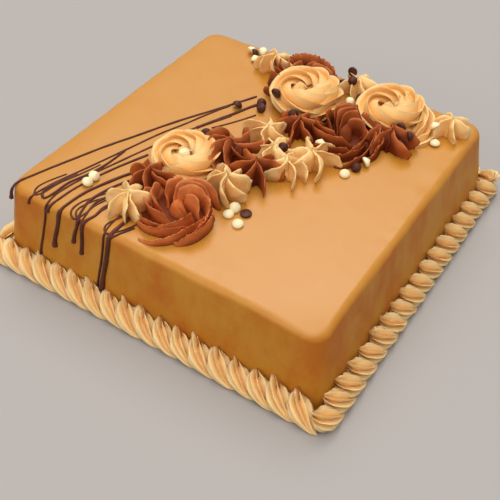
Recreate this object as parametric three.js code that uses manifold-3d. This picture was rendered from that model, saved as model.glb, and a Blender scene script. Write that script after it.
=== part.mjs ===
// A square fudge cake: caramel icing over a solid cake, a piped shell border round its foot,
// thin chocolate drizzle over one edge, and a band of piped rosettes, stars and chips on top.
// Millimetres, +Z up. The origin is the middle of the underside.

import * as THREE from 'three';
import Module from 'manifold-3d';

const wasm = await Module();
wasm.setup();

// ---------------------------------------------------------------- driving dimensions

const TOP_SIDE = 236; // side of the top, measured at its edges
const HEIGHT = 61; // underside to top icing
const FLARE = 8; // each wall leans out by this much at the foot
const CORNER_RADIUS = 13; // upright corners, seen from above
const EDGE_RADIUS = 5; // rounding between the top and the walls
const CORNER_STEPS = 6; // facets round one upright corner
const EDGE_STEPS = 4; // facets over the top edge

const GAP = 0.3; // clearance between pieces that touch
const CUT_GAP = 0.45; // how much larger than its neighbour a topping's cut is
const SINK = 0.8; // how deep drizzle and loose chips sit in the icing
const LAYER = 0.07; // each strand lies this much prouder than the one before, where they cross
const SLIVER = 0.01; // edges shorter than this are merged after a cut

const SHELL_COUNT = 18; // shells along one wall
const SHELL_HEIGHT = 15.5; // against the wall
const SHELL_WIDTH = 9.2; // out from the wall, on the ground
const SHELL_TEETH = 4; // ridges that show on one shell
const SHELL_TOOTH_DEPTH = 0.2; // share of the shell's size
// Sections of one shell: [share of the pitch, size, shift off the wall, how far its teeth lean back].
const SHELL_STATIONS = [
  [0, 0.98, 0, 2],
  [0.45, 0.86, 0.6, 0],
  [0.86, 0.42, 2.6, 0],
];
const ROW_INSET = 0.45; // share of a shell's width by which a row starts in from the foot's corner
const ROW_OVERRUN = 0.3; // and by which it is longer than the wall
// The two tips of a row, outwards from the wall and up.
const ROW_START = { inset: 1, out: 3.7, up: 4.7 };
const ROW_END = { out: 3, up: 1 };

const DRIZZLE_WIDTH = 2.2;
const DRIZZLE_HEIGHT = 1.1;
const DRIP_WIDTH = 3;
const DRIZZLE_CREST = 0.75; // width of a strand's crest against its foot
const DRIZZLE_STEP = 22; // length of one straight piece of a strand on the top
const EDGE_TURNS = [0, 0.55, 1.1, 1.6]; // where a strand bends over the edge, in edge radii
const DRIP_SWELL = 0.72; // share of the run down the wall at which the drip starts to swell

const CHIP_RADIUS = 3.7; // widest part of a chip
const CHIP_HEIGHT = 4.4;
const CHIP_SIDES = 6;
const CHIP_PROFILE = [[0.85, 0], [1, 0.35], [0.5, 0.85]]; // [share of radius, share of height]

const RIDGE_LIFT = 0.3; // how much a ridge's crest also rises, against how far it stands out
const CUT_REACH = 20; // a topping's cut reaches down by this many times its growth

// Shared proportions of the two kinds of piped swirl: [share of radius, share of height, ridge depth].
const ROSETTE_PROFILE = [
  [0.84, 0, 0.1],
  [1, 0.2, 0.2],
  [0.93, 0.6, 0.24],
  [0.7, 0.96, 0.22],
  [0.42, 0.86, 0.18],
  [0.2, 0.8, 0.07],
  [0, 1, 0],
];
const STAR_PROFILE = [
  [0.8, 0, 0.34],
  [1, 0.16, 0.5],
  [0.86, 0.42, 0.5],
  [0.5, 0.72, 0.44],
  [0.17, 0.94, 0.2],
  [0, 1.06, 0],
];
// Each ridge has a crest and what lies between it and the next: [share of the ridge, side].
const LEANING_RIDGE = [[0, 0.5], [0.3, -0.5], [0.65, -0.1]];
const EVEN_RIDGE = [[0, 0.5], [0.5, -0.5]];
const ROSETTE = { profile: ROSETTE_PROFILE, ridges: 9, twist: 1.5, ridge: LEANING_RIDGE };
const STAR = { profile: STAR_PROFILE, ridges: 6, twist: 0.35, ridge: EVEN_RIDGE };

// Toppings in order: each later one gives way to those before it.
// x, y is the middle on the top; chips are [x, y, height above the top icing].
const TOPPINGS = [
  { name: 'rosette_chocolate_front', form: ROSETTE, cream: 'chocolate', x: -8, y: -82, radius: 27, height: 18 },
  { name: 'rosette_chocolate_middle', form: ROSETTE, cream: 'chocolate', x: 43, y: 46, radius: 25, height: 17 },
  { name: 'rosette_caramel_back', form: ROSETTE, cream: 'caramel', x: -1, y: 66, radius: 26, height: 19,
    chips: [[-15, 49, 10]] },
  { name: 'rosette_chocolate_back', form: ROSETTE, cream: 'chocolate', x: -17, y: 86, radius: 26, height: 15 },
  { name: 'rosette_caramel_right', form: ROSETTE, cream: 'caramel', x: 58, y: 86, radius: 27, height: 18,
    chips: [[35, 79, 10]] },
  { name: 'rosette_caramel_left', form: ROSETTE, cream: 'caramel', x: -33, y: -37, radius: 25, height: 15,
    chips: [[-32, -39, 14]] },
  { name: 'star_chocolate_left', form: STAR, cream: 'chocolate', x: -36, y: -68, radius: 16, height: 16 },
  { name: 'star_chocolate_swirl', form: STAR, cream: 'chocolate', x: -6, y: -12, radius: 20, height: 17 },
  { name: 'star_chocolate_middle', form: STAR, cream: 'chocolate', x: 15, y: -26, radius: 19, height: 16 },
  { name: 'star_chocolate_back', form: STAR, cream: 'chocolate', x: 12, y: 35, radius: 17, height: 14,
    chips: [[5, 40, 8]] },
  { name: 'star_chocolate_right', form: STAR, cream: 'chocolate', x: 72, y: 57, radius: 17, height: 16,
    chips: [[73, 69, 8], [80, 61, 8]] },
  { name: 'star_caramel_front', form: STAR, cream: 'caramel', x: -37, y: -96, radius: 17, height: 15 },
  { name: 'star_caramel_near', form: STAR, cream: 'caramel', x: 9, y: -47, radius: 17, height: 16 },
  { name: 'star_caramel_high', form: STAR, cream: 'caramel', x: -4, y: 17, radius: 16, height: 15 },
  { name: 'star_caramel_low', form: STAR, cream: 'caramel', x: 14, y: 5, radius: 15, height: 13,
    chips: [[18, 6, 9]] },
  { name: 'star_caramel_middle', form: STAR, cream: 'caramel', x: 26, y: -9, radius: 17, height: 15 },
  { name: 'star_caramel_right', form: STAR, cream: 'caramel', x: 40, y: 11, radius: 18, height: 16,
    chips: [[34, 22, 9]] },
  { name: 'star_caramel_far', form: STAR, cream: 'caramel', x: -47, y: 93, radius: 16, height: 15,
    chips: [[-57, 98, 6]] },
  { name: 'star_caramel_behind', form: STAR, cream: 'caramel', x: 26, y: 99, radius: 15, height: 14,
    chips: [[14, 101, 7], [20, 96, 9]] },
  { name: 'star_caramel_corner', form: STAR, cream: 'caramel', x: 100, y: 90, radius: 14, height: 15 },
];

// White chips and dark chips that lie on the icing itself: [x, y].
const LOOSE_WHITE = [
  [-76, -89], [-72, -82], [20, -65], [31, -70], [61, 12], [68.5, 30], [95, 72], [-66, 95], [-62, 106],
];
const LOOSE_DARK = [[29, -57.5], [65, 21], [-40, 38], [-41, -3]];

// Drizzle strands. edge: where the strand crosses the front edge (x); drip: [lean, lowest z] of the run
// down the wall; bend and far: the strand's control point and end on the top (x, y); width factor last.
const STRANDS = [
  { edge: -111, drip: [0, 50], bend: [-100, -72], far: [-37, 52], wide: 1 },
  { edge: -97, drip: [-1, 52], bend: [-82, -60], far: [-34, 46], wide: 1 },
  { edge: -83, drip: [-3, 18.5], bend: [-78, -76], far: [-60, -22], wide: 1.3 },
  { edge: -72.5, drip: [-3, 29], bend: [-70, -92], far: [-57, -62], wide: 1.2 },
  { edge: -58, drip: [-2, 42], bend: [-64, -100], far: [-52, -72], wide: 1.2 },
  { edge: -53, drip: [-0.5, 34], bend: [-50, -104], far: [-45, -94], wide: 1.3 },
  { edge: -36, drip: [-4.2, 18.5], bend: [-38, -108], far: [-36, -100], wide: 1 },
  { edge: -31.5, drip: [-4.2, 18.5], bend: [-25, -110], far: [-20, -98], wide: 1.3 },
];
// Strands that turn back at the front without running over the edge, or that lie wholly on the top.
const LOOPS = [
  [[-86, -84], [-91, -98], [-93, -108], [-89, -113], [-86, -107], [-84, -92], [-77, -68], [-76, -47]],
  [[-80, -104], [-78, -93], [-71, -71], [-62, -46]],
  [[-50, 2], [-44, 18], [-37, 31], [-28, 44]],
  [[-41, 6], [-33, 20], [-25, 32]],
];

// ---------------------------------------------------------------- materials

const finish = (colour, roughness) => new THREE.MeshStandardMaterial({ color: colour, roughness, metalness: 0 });
const MATERIALS = {
  icing: finish(0xdfa86a, 0.55),
  caramel: finish(0xefc58a, 0.6),
  chocolate: finish(0x7a3d25, 0.55),
};

// ---------------------------------------------------------------- closed meshes and solids

/** A ring of one point closes an end to a tip; any other end ring is flat and gets a flat face. */
function loft(rings) {
  const positions = [];
  const faces = [];
  const starts = rings.map((ring) => {
    const start = positions.length / 3;
    ring.forEach((point) => positions.push(point.x, point.y, point.z));
    return start;
  });
  for (let r = 0; r + 1 < rings.length; r += 1) {
    const count = Math.max(rings[r].length, rings[r + 1].length);
    const lower = (j) => starts[r] + (j % rings[r].length);
    const upper = (j) => starts[r + 1] + (j % rings[r + 1].length);
    for (let j = 0; j < count; j += 1) {
      if (rings[r].length > 1) faces.push(lower(j), lower(j + 1), upper(j));
      if (rings[r + 1].length > 1) faces.push(lower(j + 1), upper(j + 1), upper(j));
    }
  }
  addFlatEnd(rings[0], starts[0], true, faces);
  addFlatEnd(rings[rings.length - 1], starts[rings.length - 1], false, faces);
  const geometry = new THREE.BufferGeometry();
  geometry.setAttribute('position', new THREE.Float32BufferAttribute(positions, 3));
  geometry.setIndex(faces);
  return geometry;
}

/** Fills a level end ring of an upright loft. */
function addFlatEnd(ring, start, isStart, faces) {
  if (ring.length === 1) return;
  const outline = ring.map((point) => new THREE.Vector2(point.x, point.y));
  THREE.ShapeUtils.triangulateShape(outline, []).forEach(([a, b, c]) => {
    if (isStart) faces.push(start + a, start + c, start + b);
    else faces.push(start + a, start + b, start + c);
  });
}

/** The geometry as a solid that can be joined and cut. */
function solid(geometry) {
  return new wasm.Manifold(new wasm.Mesh({
    numProp: 3,
    vertProperties: new Float32Array(geometry.attributes.position.array),
    triVerts: new Uint32Array(geometry.index.array),
  }));
}

/** The largest piece of a solid, without scraps or slivers that a cut leaves behind. */
function mainPiece(body) {
  const largest = body.decompose().reduce((best, piece) => (piece.volume() > best.volume() ? piece : best));
  return largest.simplify(SLIVER);
}

function toMesh(name, body, material) {
  const { vertProperties, triVerts, numProp } = body.getMesh();
  const geometry = new THREE.BufferGeometry();
  const positions = new Float32Array((vertProperties.length / numProp) * 3);
  for (let i = 0; i < positions.length / 3; i += 1) {
    positions.set(vertProperties.subarray(i * numProp, i * numProp + 3), i * 3);
  }
  geometry.setAttribute('position', new THREE.BufferAttribute(positions, 3));
  geometry.setIndex(new THREE.BufferAttribute(new Uint32Array(triVerts), 1));
  geometry.computeVertexNormals();
  const mesh = new THREE.Mesh(geometry, material);
  mesh.name = name;
  return mesh;
}

// ---------------------------------------------------------------- cake body

const wallHalf = (z) => TOP_SIDE / 2 + (FLARE * (HEIGHT - z)) / HEIGHT;

function roundedSquare(half, radius, z) {
  const points = [];
  for (let corner = 0; corner < 4; corner += 1) {
    const centre = new THREE.Vector2(half - radius, half - radius).rotateAround(
      new THREE.Vector2(), (corner * Math.PI) / 2);
    for (let step = 0; step <= CORNER_STEPS; step += 1) {
      const angle = (corner + step / CORNER_STEPS) * (Math.PI / 2);
      points.push(new THREE.Vector3(
        centre.x + radius * Math.cos(angle), centre.y + radius * Math.sin(angle), z));
    }
  }
  return points;
}

function cakeBody() {
  const shoulder = HEIGHT - EDGE_RADIUS;
  const rings = [roundedSquare(wallHalf(0), CORNER_RADIUS + FLARE / 2, 0)];
  for (let step = 0; step <= EDGE_STEPS; step += 1) {
    const angle = (step / EDGE_STEPS) * (Math.PI / 2);
    const inset = EDGE_RADIUS * (1 - Math.cos(angle));
    rings.push(roundedSquare(
      wallHalf(shoulder) - inset, CORNER_RADIUS - inset * 0.5, shoulder + EDGE_RADIUS * Math.sin(angle)));
  }
  return solid(loft(rings));
}

// ---------------------------------------------------------------- drizzle

/** A point of the icing over the front edge; run is measured inwards from the start of the level top. */
function frontSkin(x, run) {
  const shoulder = HEIGHT - EDGE_RADIUS;
  const edgeY = EDGE_RADIUS - wallHalf(shoulder);
  const quarter = (EDGE_RADIUS * Math.PI) / 2;
  if (run >= 0) {
    return { point: new THREE.Vector3(x, edgeY + run, HEIGHT), up: new THREE.Vector3(0, 0, 1) };
  }
  const angle = Math.min(-run / EDGE_RADIUS, Math.PI / 2);
  const up = new THREE.Vector3(0, -Math.sin(angle), Math.cos(angle));
  const point = new THREE.Vector3(x, edgeY, shoulder).addScaledVector(up, EDGE_RADIUS);
  const drop = Math.max(-run - quarter, 0);
  point.z -= drop;
  point.y -= (drop * FLARE) / HEIGHT;
  return { point, up };
}

/** One strand: a low ridge along places on the skin, round at both ends. */
function strand(places, widths, layer) {
  const rise = DRIZZLE_HEIGHT + layer * LAYER;
  const sink = SINK + layer * LAYER;
  const points = places.map((place) => place.point);
  const rings = points.map((point, i) => {
    const along = points[Math.min(i + 1, points.length - 1)].clone().sub(points[Math.max(i - 1, 0)]).normalize();
    const side = new THREE.Vector3().crossVectors(along, places[i].up).normalize();
    const half = widths[i] / 2;
    const corners = [[-half, -sink], [-half * DRIZZLE_CREST, rise], [half * DRIZZLE_CREST, rise], [half, -sink]];
    return corners.map(([across, out]) => point.clone()
      .addScaledVector(side, across)
      .addScaledVector(places[i].up, out));
  });
  const tip = (i, neighbour) => points[i].clone()
    .addScaledVector(points[i].clone().sub(points[neighbour]).normalize(), widths[i] * 0.5);
  return solid(loft([[tip(0, 1)], ...rings, [tip(points.length - 1, points.length - 2)]]));
}

function drippingStrand({ edge, drip: [lean, lowest], bend, far, wide }, layer) {
  const shoulder = HEIGHT - EDGE_RADIUS;
  const edgeY = EDGE_RADIUS - wallHalf(shoulder);
  const bottom = -(EDGE_RADIUS * Math.PI) / 2 - (shoulder - lowest);
  const top = new THREE.QuadraticBezierCurve(
    new THREE.Vector2(edge, 0),
    new THREE.Vector2(bend[0], bend[1] - edgeY),
    new THREE.Vector2(far[0], far[1] - edgeY));
  const places = [];
  const widths = [];
  const topSteps = Math.max(2, Math.round(top.getLength() / DRIZZLE_STEP));
  for (let i = topSteps; i >= 1; i -= 1) {
    const at = top.getPoint(i / topSteps);
    places.push(frontSkin(at.x, at.y));
    widths.push(DRIZZLE_WIDTH * wide);
  }
  const fall = [...EDGE_TURNS.map((turn) => -turn * EDGE_RADIUS), bottom * DRIP_SWELL, bottom];
  fall.forEach((run) => {
    places.push(frontSkin(edge + (lean * run) / bottom, run));
    widths.push(run === bottom ? DRIP_WIDTH * wide : DRIZZLE_WIDTH * wide);
  });
  return strand(places, widths, layer);
}

function looseStrand(corners, order) {
  const edgeY = EDGE_RADIUS - wallHalf(HEIGHT - EDGE_RADIUS);
  const curve = new THREE.SplineCurve(corners.map(([x, y]) => new THREE.Vector2(x, y - edgeY)));
  const steps = corners.length * 2;
  const places = curve.getPoints(steps).map((at) => frontSkin(at.x, at.y));
  return strand(places, places.map(() => DRIZZLE_WIDTH), order + STRANDS.length);
}

// ---------------------------------------------------------------- chips

/** A small drop of chocolate: flat underneath, with a blunt tip. */
function chip(x, y, base) {
  const ring = (share, rise) => Array.from({ length: CHIP_SIDES }, (_, i) => {
    const angle = (i / CHIP_SIDES) * 2 * Math.PI;
    return new THREE.Vector3(
      x + CHIP_RADIUS * share * Math.cos(angle), y + CHIP_RADIUS * share * Math.sin(angle), base + rise * CHIP_HEIGHT);
  });
  const tip = [new THREE.Vector3(x, y, base + CHIP_HEIGHT)];
  return solid(loft([...CHIP_PROFILE.map(([share, rise]) => ring(share, rise)), tip]));
}

// ---------------------------------------------------------------- piped rosettes and stars

/** A round swirl of cream whose ridges wind from its rim to its middle. grow widens it on all sides. */
function swirl({ form, x, y, radius, height }, grow = 0) {
  const base = HEIGHT + GAP;
  const rings = form.profile.map(([share, rise, depth]) => {
    if (share === 0) return [new THREE.Vector3(x, y, base + height * rise + grow)];
    const points = [];
    for (let ridge = 0; ridge < form.ridges; ridge += 1) {
      form.ridge.forEach(([step, side]) => {
        const angle = ((ridge + step) / form.ridges) * 2 * Math.PI + form.twist * (1 - share);
        const reach = radius * (share + side * depth) + grow;
        const lift = rise === 0 ? -grow * CUT_REACH : height * (rise + side * depth * RIDGE_LIFT) + grow;
        points.push(new THREE.Vector3(x + reach * Math.cos(angle), y + reach * Math.sin(angle), base + lift));
      });
    }
    return points;
  });
  return solid(loft(rings));
}

// ---------------------------------------------------------------- shell border

/** A section of the border at one place along the wall, from the ground outside up to the wall. */
function shellSection(along, size, shift, leanBack) {
  const points = [];
  for (let i = 0; i <= SHELL_TEETH * 2; i += 1) {
    const angle = (i / (SHELL_TEETH * 2)) * (Math.PI / 2);
    const crest = i % 2 === 0 ? 1 : 0;
    const reach = size * (1 + (crest - 0.5) * SHELL_TOOTH_DEPTH);
    points.push({
      along: along - crest * leanBack,
      out: shift + SHELL_WIDTH * reach * Math.cos(angle),
      up: SHELL_HEIGHT * reach * Math.sin(angle),
    });
  }
  points.push({ along, out: shift, up: 0 });
  return points.reverse();
}

/** One wall's row of shells, on the +X wall, running towards +Y. */
function shellRow() {
  const half = wallHalf(0);
  const start = -half + SHELL_WIDTH * ROW_INSET;
  const pitch = (2 * half + SHELL_WIDTH * ROW_OVERRUN) / SHELL_COUNT;
  const place = ({ along, out, up }) => new THREE.Vector3(
    half + GAP + out - (FLARE * up) / HEIGHT, along, up);
  const rings = [];
  for (let i = 0; i < SHELL_COUNT; i += 1) {
    const from = start + pitch * i;
    SHELL_STATIONS.forEach(([share, size, shift, leanBack]) => {
      rings.push(shellSection(from + pitch * share, size, shift, leanBack));
    });
  }
  const first = [place({ along: start + ROW_START.inset, out: ROW_START.out, up: ROW_START.up })];
  const last = [place({ along: start + pitch * SHELL_COUNT, out: ROW_END.out, up: ROW_END.up })];
  return solid(loft([first, ...rings.map((ring) => ring.map(place)), last]));
}

// ---------------------------------------------------------------- assembly

const cake = new THREE.Group();

const piped = [];
TOPPINGS.forEach((topping) => {
  let body = swirl(topping);
  (topping.chips ?? []).forEach(([x, y, rise]) => {
    body = body.add(chip(x, y, HEIGHT + rise));
  });
  piped.forEach((other) => {
    body = body.subtract(other.room);
  });
  let room = swirl(topping, CUT_GAP);
  (topping.chips ?? []).forEach(([x, y, rise]) => {
    room = room.add(chip(x, y, HEIGHT + rise));
  });
  piped.push({ topping, body: mainPiece(body), room });
});

let drizzle = null;
[...STRANDS.map(drippingStrand), ...LOOPS.map(looseStrand)].forEach((line) => {
  drizzle = drizzle ? drizzle.add(line) : line;
});
[...LOOSE_WHITE, ...LOOSE_DARK].forEach(([x, y]) => {
  drizzle = drizzle.add(chip(x, y, HEIGHT - SINK / 2));
});
piped.forEach(({ room }) => {
  drizzle = drizzle.subtract(room);
});
cake.add(toMesh('cake', mainPiece(cakeBody().add(drizzle)), MATERIALS.icing));

piped.forEach(({ topping, body }) => {
  cake.add(toMesh(topping.name, body, MATERIALS[topping.cream]));
});

['right', 'back', 'left', 'front'].forEach((wall, turn) => {
  const row = toMesh(`border_${wall}`, shellRow(), MATERIALS.caramel);
  row.rotation.z = (turn * Math.PI) / 2;
  cake.add(row);
});

export default cake;
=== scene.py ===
"""A square fudge cake: smooth icing, a shell border, chocolate drizzle, piped rosettes and stars, and chips."""
import math
import random

import bmesh
import bpy
from bpy.props import FloatProperty, FloatVectorProperty, IntProperty, PointerProperty
from bpy.types import Operator, Panel, PropertyGroup
from mathutils import Matrix, Vector, noise
from mathutils.bvhtree import BVHTree


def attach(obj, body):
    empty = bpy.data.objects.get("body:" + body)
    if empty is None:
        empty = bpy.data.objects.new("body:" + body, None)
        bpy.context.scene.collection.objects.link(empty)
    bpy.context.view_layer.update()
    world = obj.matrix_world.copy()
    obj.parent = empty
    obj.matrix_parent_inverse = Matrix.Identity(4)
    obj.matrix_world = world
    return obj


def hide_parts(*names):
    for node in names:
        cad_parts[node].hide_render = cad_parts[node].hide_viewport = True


bl_info = {
    "name": "Fudge Cake",
    "version": (1, 0, 0),
    "blender": (4, 5, 0),
    "location": "3D View > Sidebar > Cake",
    "description": "Dresses a square fudge cake in icing, piped cream, drizzle and chips",
    "category": "Object",
}

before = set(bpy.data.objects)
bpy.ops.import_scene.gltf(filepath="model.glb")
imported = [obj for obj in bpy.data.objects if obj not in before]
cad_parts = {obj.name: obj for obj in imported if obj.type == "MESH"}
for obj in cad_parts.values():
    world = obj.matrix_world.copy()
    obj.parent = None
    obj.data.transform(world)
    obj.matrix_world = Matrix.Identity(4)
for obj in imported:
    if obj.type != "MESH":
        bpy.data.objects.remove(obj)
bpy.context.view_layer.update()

MM = 0.001
WELD = 0.004
FULL = 2 * math.pi
UP = Vector((0, 0, 1))

# Piped toppings in millimetres: name, middle x and y, radius, height.
# Rosettes of thin fins add how far in degrees their fins are turned round.
# Swirls, wound from one soft ribbed rope, add the way they wind, the angle where the tail ends, their turns, the height
# of the heart and how wide the hollow is.
ROSETTES = [
    ("rosette_chocolate_front", -7, -80, 27.5, 18.5, 0),
    ("rosette_chocolate_middle", 43, 46, 27, 19, 28),
    ("rosette_chocolate_back", -17, 86, 29, 18, 95),
]
# Painted shade: these rosettes take the darker copy of the chocolate cream, which stands in for the shade on them.
SHADED_ROSETTES = ("rosette_chocolate_middle", "rosette_chocolate_back")
SWIRLS = [
    ("rosette_caramel_back", -2, 68, 30, 20, -1, -80, 1.5, 0.98, 0.04),
    ("rosette_caramel_right", 59, 83, 28, 20, -1, -30, 1.5, 0.98, 0.04),
    ("rosette_caramel_left", -33, -37, 27, 16, -1, -140, 1.4, 0.8, 0.05),
]

# Fins of a rosette, in degrees and in shares of its radius and height: start, sweep (clockwise), how far out its start,
# middle and end lie, how high its crest is there, and how frayed it is.
ROSETTE_FINS = [
    (26, 130, (0.74, 0.78, 1.20), (0.62, 0.60, 0.26), 1.0),
    (-65, 95, (0.60, 0.78, 1.05), (0.50, 0.58, 0.42), 0.4),
    (-63, 142, (0.48, 0.60, 0.98), (0.78, 0.80, 0.72), 0.4),
    (-20, 120, (0.60, 0.80, 1.02), (0.50, 0.52, 0.35), 0.8),
    (-110, 110, (0.36, 0.56, 0.93), (0.80, 0.86, 0.74), 0.2),
    (190, 85, (0.34, 0.54, 0.84), (0.90, 0.95, 0.82), 0.1),
    (162, 116, (0.24, 0.45, 0.86), (0.85, 1.00, 0.86), 0.1),
    (149, 102, (0.33, 0.66, 0.97), (0.90, 0.98, 0.78), 0.1),
    (135, 98, (0.25, 0.35, 0.70), (0.80, 0.97, 0.90), 0.1),
    (100, 100, (0.24, 0.30, 0.58), (0.70, 0.86, 0.80), 0.1),
    (75, 110, (0.60, 0.76, 0.98), (0.80, 0.82, 0.62), 1.5),
    (50, 105, (0.74, 0.88, 1.02), (0.58, 0.62, 0.48), 2.0),
    (5, 100, (0.46, 0.62, 0.88), (0.78, 0.80, 0.62), 1.0),
    (216, 95, (0.64, 0.78, 1.00), (0.52, 0.55, 0.40), 0.4),
]
# Loose ribbons that run on from the end of a swirl, given in the same way.
RIBBONS = {
    "rosette_caramel_right": [
        (88, 120, (0.62, 0.88, 0.92), (0.72, 0.66, 0.40), 0.4),
        (76, 118, (0.80, 1.06, 1.04), (0.62, 0.46, 0.26), 0.5),
        (62, 104, (0.98, 1.20, 1.14), (0.40, 0.28, 0.16), 0.5),
    ],
}

# Stars add the turn of their first fin in degrees, how far round the fins twist and how many there are.
STARS = [
    ("star_chocolate_left", -36, -66, 16, 18, 20, 0.5, 7),
    ("star_chocolate_swirl", -8, -13, 24, 18, 70, 0.9, 7),
    ("star_chocolate_middle", 14, -24, 20, 17, -75, -0.4, 6),
    ("star_chocolate_back", 12, 35, 18, 15, -100, 0.4, 6),
    ("star_chocolate_right", 72, 57, 18, 17, -60, 0.6, 6),
    ("star_caramel_front", -35, -94, 15, 17, 10, 0.5, 7),
    ("star_caramel_near", 7, -46, 16, 20, -100, 0.9, 7),
    ("star_caramel_high", -2, 16, 18, 15, 30, 0.7, 6),
    ("star_caramel_low", 14, 2, 16, 14, 0, 0.8, 6),
    ("star_caramel_middle", 28, -9, 17, 15, -60, -1.2, 6),
    ("star_caramel_right", 39, 10, 19, 16, -70, -0.8, 6),
    ("star_caramel_far", -43, 94, 15.5, 17, 15, 0.6, 7),
    ("star_caramel_behind", 26, 101, 17, 15, 0, 0.6, 6),
    ("star_caramel_corner", 101, 94, 15, 15, -80, 0.6, 6),
]

# Chips: x, y, tilt and turn in degrees; each one rests on what lies under it.
WHITE_CHIPS = [
    (-73.4, -88.5, 20, 40), (-72.9, -82.1, 35, 200), (-32.1, -38.8, 15, 0),
    (19, -62.4, 0, 30), (29, -66.8, 5, 80), (20.1, -56.5, 30, 0),
    (61.1, 13, 10, 20), (67.9, 30.4, 70, 90), (35.2, 24.6, 30, 0),
    (27.5, 83, 35, -40), (92.5, 84, 40, -60), (97, 77, 10, 0),
    (-63.5, 96.3, 30, 20), (-71, 104.5, 60, 10), (-64.5, 108, 35, 140),
]
DARK_CHIPS = [
    (27.9, -55.8, 178, 0), (-40.3, 37.7, 40, 30), (-23.8, 42.1, 60, 90),
    (-26.6, 48.5, 30, 0), (-40.2, -2.7, 20, 0), (-15.3, 48.5, 70, 60),
    (5.1, 39.7, 75, 20), (19.6, 3.8, 50, 30), (-67, 102.8, 70, 20),
    (15, 107.5, 80, 20), (22, 95, 60, 80), (10.5, 104.3, 70, 10),
    (32.5, 87, 80, 30), (64.6, 21.6, 30, 0), (76, 62, 70, 50),
    (80, 55, 60, 0), (84.5, 60, 80, 90),
]

# Drizzle strands on the sheet that the top and front make when unrolled: width, then x and run of each point.
# A run below the front edge goes down the wall.
STRANDS = [
    (2.2, [(-113, -127), (-113, -112), (-109, -100), (-100, -76), (-90, -51), (-80, -30), (-66, 0), (-50, 30), (-36, 57)]),
    (1.8, [(-98, -124), (-97, -118), (-92, -97), (-85, -75), (-77, -49), (-68, -20), (-60, 0), (-54, 17), (-46, 36)]),
    (2.4, [(-86, -84), (-90, -96), (-93, -106), (-92, -112), (-88, -114), (-86, -108), (-85, -94), (-80, -80), (-77, -66), (-76, -47)]),
    (1.8, [(-87, -162), (-86, -150), (-84, -134), (-83.5, -118), (-84, -106), (-81, -88), (-74, -66), (-67, -44), (-61, -26)]),
    (2.2, [(-82, -124), (-80, -114), (-78, -97), (-74, -80), (-68, -62), (-60, -42)]),
    (3.0, [(-75, -149), (-75, -142), (-73, -130), (-72, -116), (-70, -98), (-66, -85), (-60, -70), (-55, -60)]),
    (2.6, [(-60, -138), (-59, -130), (-57, -120), (-60, -110), (-62, -100), (-59, -84), (-53, -70)]),
    (2.0, [(-54, -121), (-55, -113), (-57, -105), (-57, -97), (-52, -84)]),
    (2.6, [(-53, -144), (-53, -134), (-53, -120), (-50, -110), (-50, -100), (-46, -92)]),
    (1.6, [(-40, -164), (-38.5, -150), (-37, -138), (-36, -120), (-37, -110), (-37, -100)]),
    (3.3, [(-36.5, -166), (-35, -150), (-33, -136), (-31.5, -119), (-31, -108), (-30, -98)]),
    (2.0, [(-33, -122), (-29, -117), (-26, -112), (-22, -104)]),
    (3.0, [(-51, 0), (-47, 9), (-43, 18), (-39, 27), (-33, 42), (-29, 50)]),
    (1.7, [(-42, 6), (-38, 12), (-33, 20), (-28, 29), (-24, 37)]),
    (1.6, [(-60, -20), (-55, -8), (-50, 3), (-44, 14), (-38, 26)]),
    (1.7, [(-53, -89), (-59, -98), (-63, -109), (-61, -115), (-55, -117.5), (-51, -113), (-49, -101), (-46, -90)]),
    (1.6, [(-54, -82), (-60, -93), (-65.5, -104), (-66, -113), (-61, -119), (-57, -114), (-56, -102), (-53, -92)]),
    (1.7, [(-27, -84), (-32, -93), (-36, -103), (-39, -112), (-35, -117.5), (-31, -115), (-26, -108), (-22, -98)]),
    (1.5, [(-92, -88), (-97, -100), (-99, -109), (-96, -115), (-92, -110), (-90, -98), (-85, -84), (-80, -68)]),
]


class CakeSizes(PropertyGroup):
    """Sizes of the cake and of what is piped on it."""
    half_side: FloatProperty(name="Half side", description="Middle of the top to its edge", default=0.118, unit="LENGTH")
    height: FloatProperty(name="Height", description="Height of the iced cake", default=0.061, unit="LENGTH")
    flare: FloatProperty(name="Flare", description="How much further out the foot stands than the top", default=0.008, unit="LENGTH")
    corner: FloatProperty(name="Corner radius", description="Radius of the upright corners", default=0.013, unit="LENGTH")
    edge: FloatProperty(name="Edge radius", description="Radius of the top edge", default=0.0045, unit="LENGTH")
    grid: FloatProperty(name="Grid", description="Spacing of the icing's mesh", default=0.003, unit="LENGTH")
    shell_count: IntProperty(name="Shells", description="Shells along each wall", default=18)
    shell_height: FloatProperty(name="Shell height", description="Height of a shell at the wall", default=0.0155, unit="LENGTH")
    shell_reach: FloatProperty(name="Shell reach", description="How far the shells stand out at the foot", default=0.0095, unit="LENGTH")
    chip_radius: FloatProperty(name="Chip radius", description="Radius of a chip's flat side", default=0.0038, unit="LENGTH")
    chip_height: FloatProperty(name="Chip height", description="Flat side to tip of a chip", default=0.0044, unit="LENGTH")


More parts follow.
